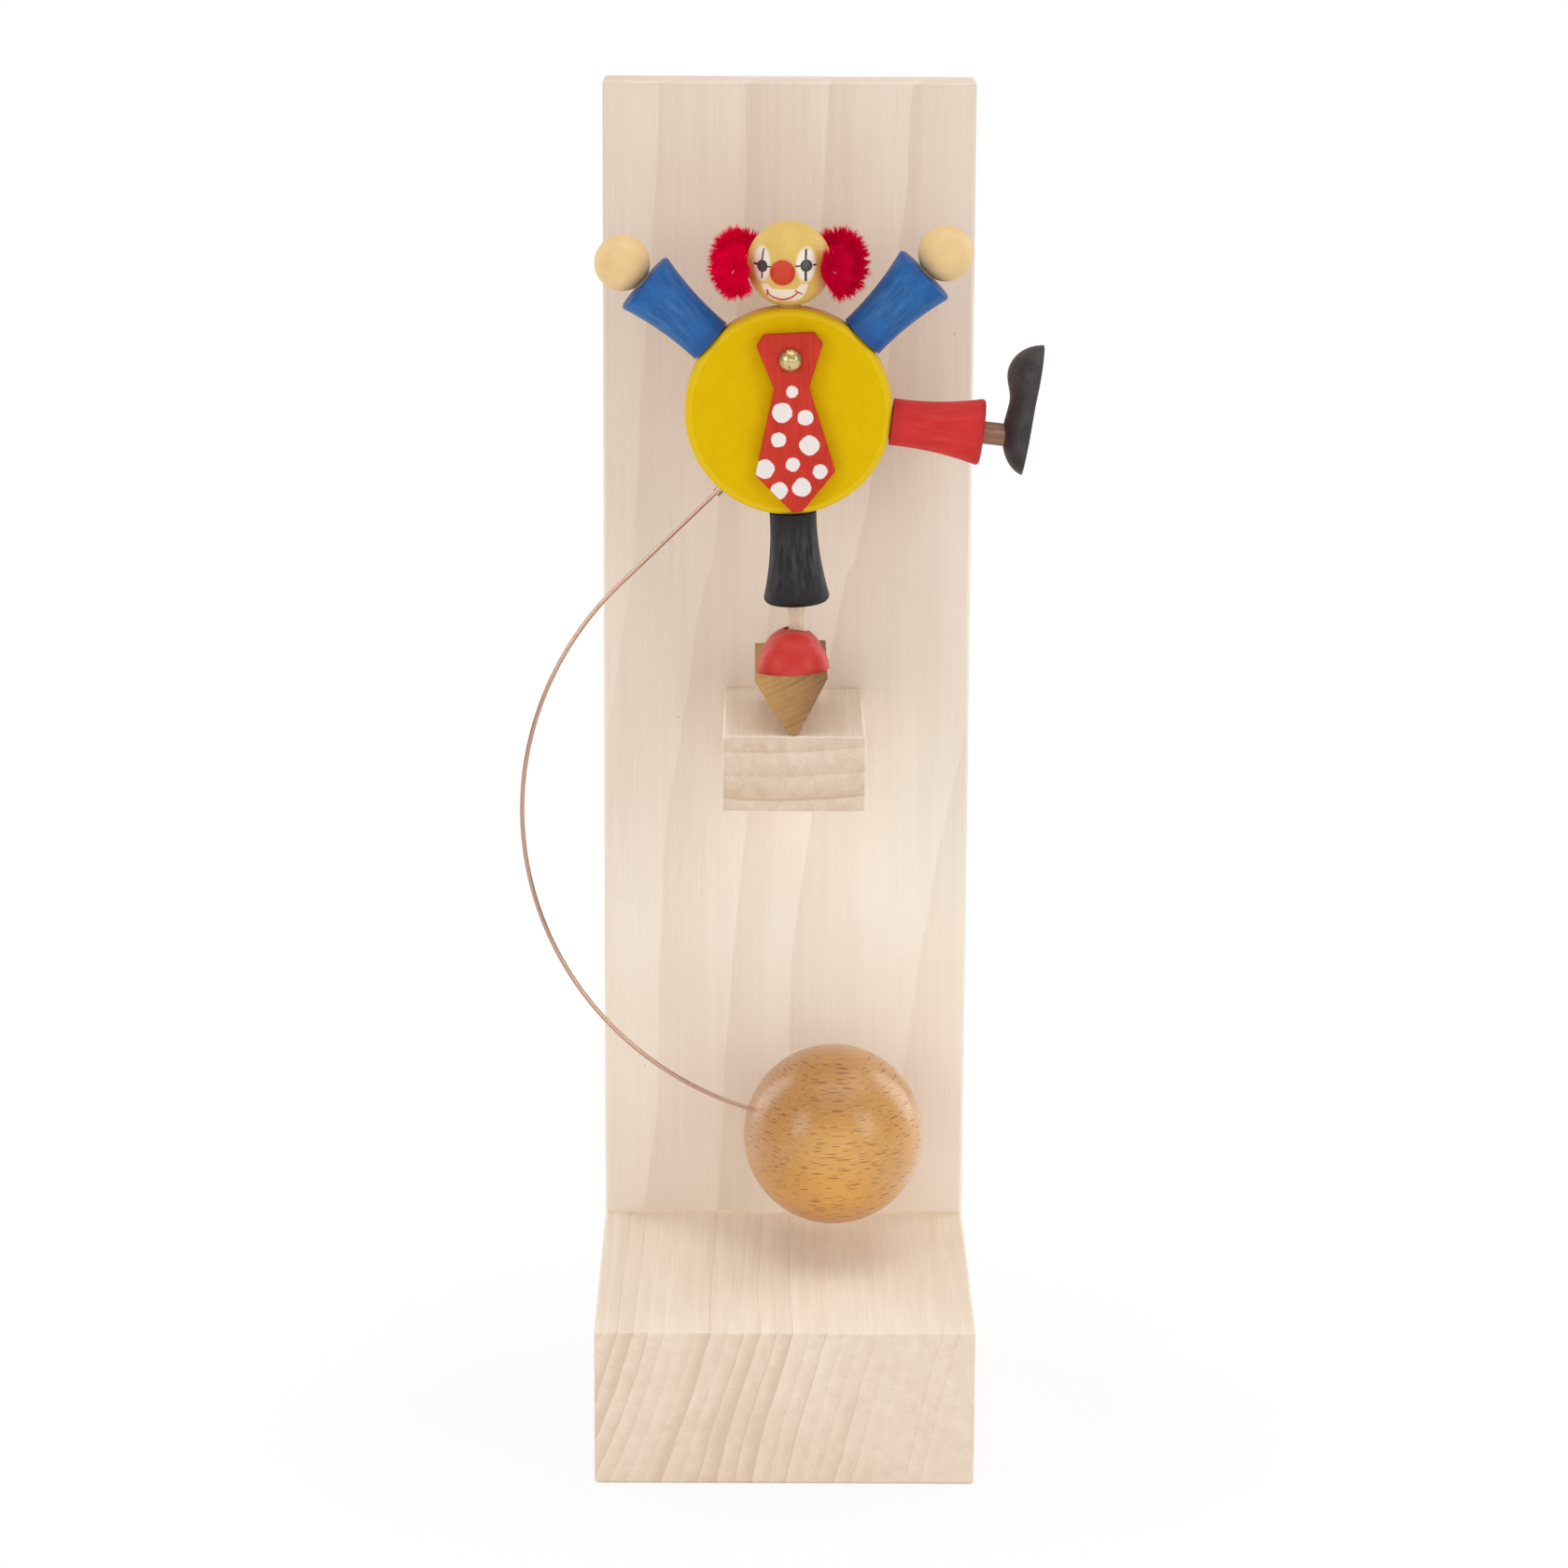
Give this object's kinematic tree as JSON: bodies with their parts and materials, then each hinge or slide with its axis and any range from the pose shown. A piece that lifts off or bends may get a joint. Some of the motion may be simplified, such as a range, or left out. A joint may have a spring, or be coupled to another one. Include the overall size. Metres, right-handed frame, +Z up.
{
  "type": "wooden balancing clown toy",
  "caption": "Free-standing wooden balancing toy: a clown of turned beads rocks on a V keel on a shelf, righted by a ball on a bowed wire.",
  "frame": {"origin": "middle of the base block's underside", "axes": "+Z up, +X to the right as the toy is looked at from its front, +Y towards the back board, so the front faces -Y"},
  "size_m": [0.1136, 0.0944, 0.294],
  "materials": {
    "pale_wood": "bare planed and sanded wood",
    "dowel_wood": "bare turned dowel",
    "stained_wood": "brown stained dowel",
    "brown_wood": "bare sawn wood",
    "red_paint": "satin red paint on wood",
    "black_paint": "satin black paint on wood",
    "crimson_paint": "satin crimson paint on wood",
    "yellow_paint": "satin yellow paint on wood",
    "blue_paint": "satin blue paint on wood",
    "skin_paint": "satin skin-coloured paint on wood",
    "nose_paint": "gloss red paint on wood",
    "tie_paint": "satin dark red paint with white dots on thin wood",
    "varnished_beech": "clear varnish on beech",
    "red_chenille": "short bristly pile",
    "copper_wire": "bright drawn copper",
    "brass_nail": "worn brass"
  },
  "bodies": {
    "stand": {"base_block": "pale_wood", "back_board": "pale_wood", "perch_shelf": "pale_wood", "board_dowels": "dowel_wood", "shelf_dowels": "dowel_wood"},
    "clown": {"rocker_block": "brown_wood", "red_shoe": "red_paint", "standing_leg_peg": "dowel_wood", "standing_leg": "black_paint", "body_disc": "yellow_paint", "raised_leg": "crimson_paint", "raised_leg_peg": "stained_wood", "black_shoe": "black_paint", "left_sleeve": "blue_paint", "right_sleeve": "blue_paint", "left_arm_peg": "dowel_wood", "right_arm_peg": "dowel_wood", "left_hand": "skin_paint", "right_hand": "skin_paint", "neck_peg": "dowel_wood", "head": "skin_paint", "nose": "nose_paint", "hair_left": "red_chenille", "hair_right": "red_chenille", "balance_wire": "copper_wire", "balance_ball": "varnished_beech", "tie_nail": "brass_nail"},
    "tie": {"tie": "tie_paint"}
  },
  "joints": [
    {"name": "clown_rock", "type": "hinge", "parent": "stand", "child": "clown", "pos_m": [0.0013, 0.00525, 0.15973], "axis": [0, 1, 0], "range_deg": [-54, 60]},
    {"name": "tie_swing", "type": "hinge", "parent": "clown", "child": "tie", "pos_m": [0.00027, -0.0008, 0.23808], "axis": [0, 1, 0], "range_deg": [-34, 70]}
  ]
}
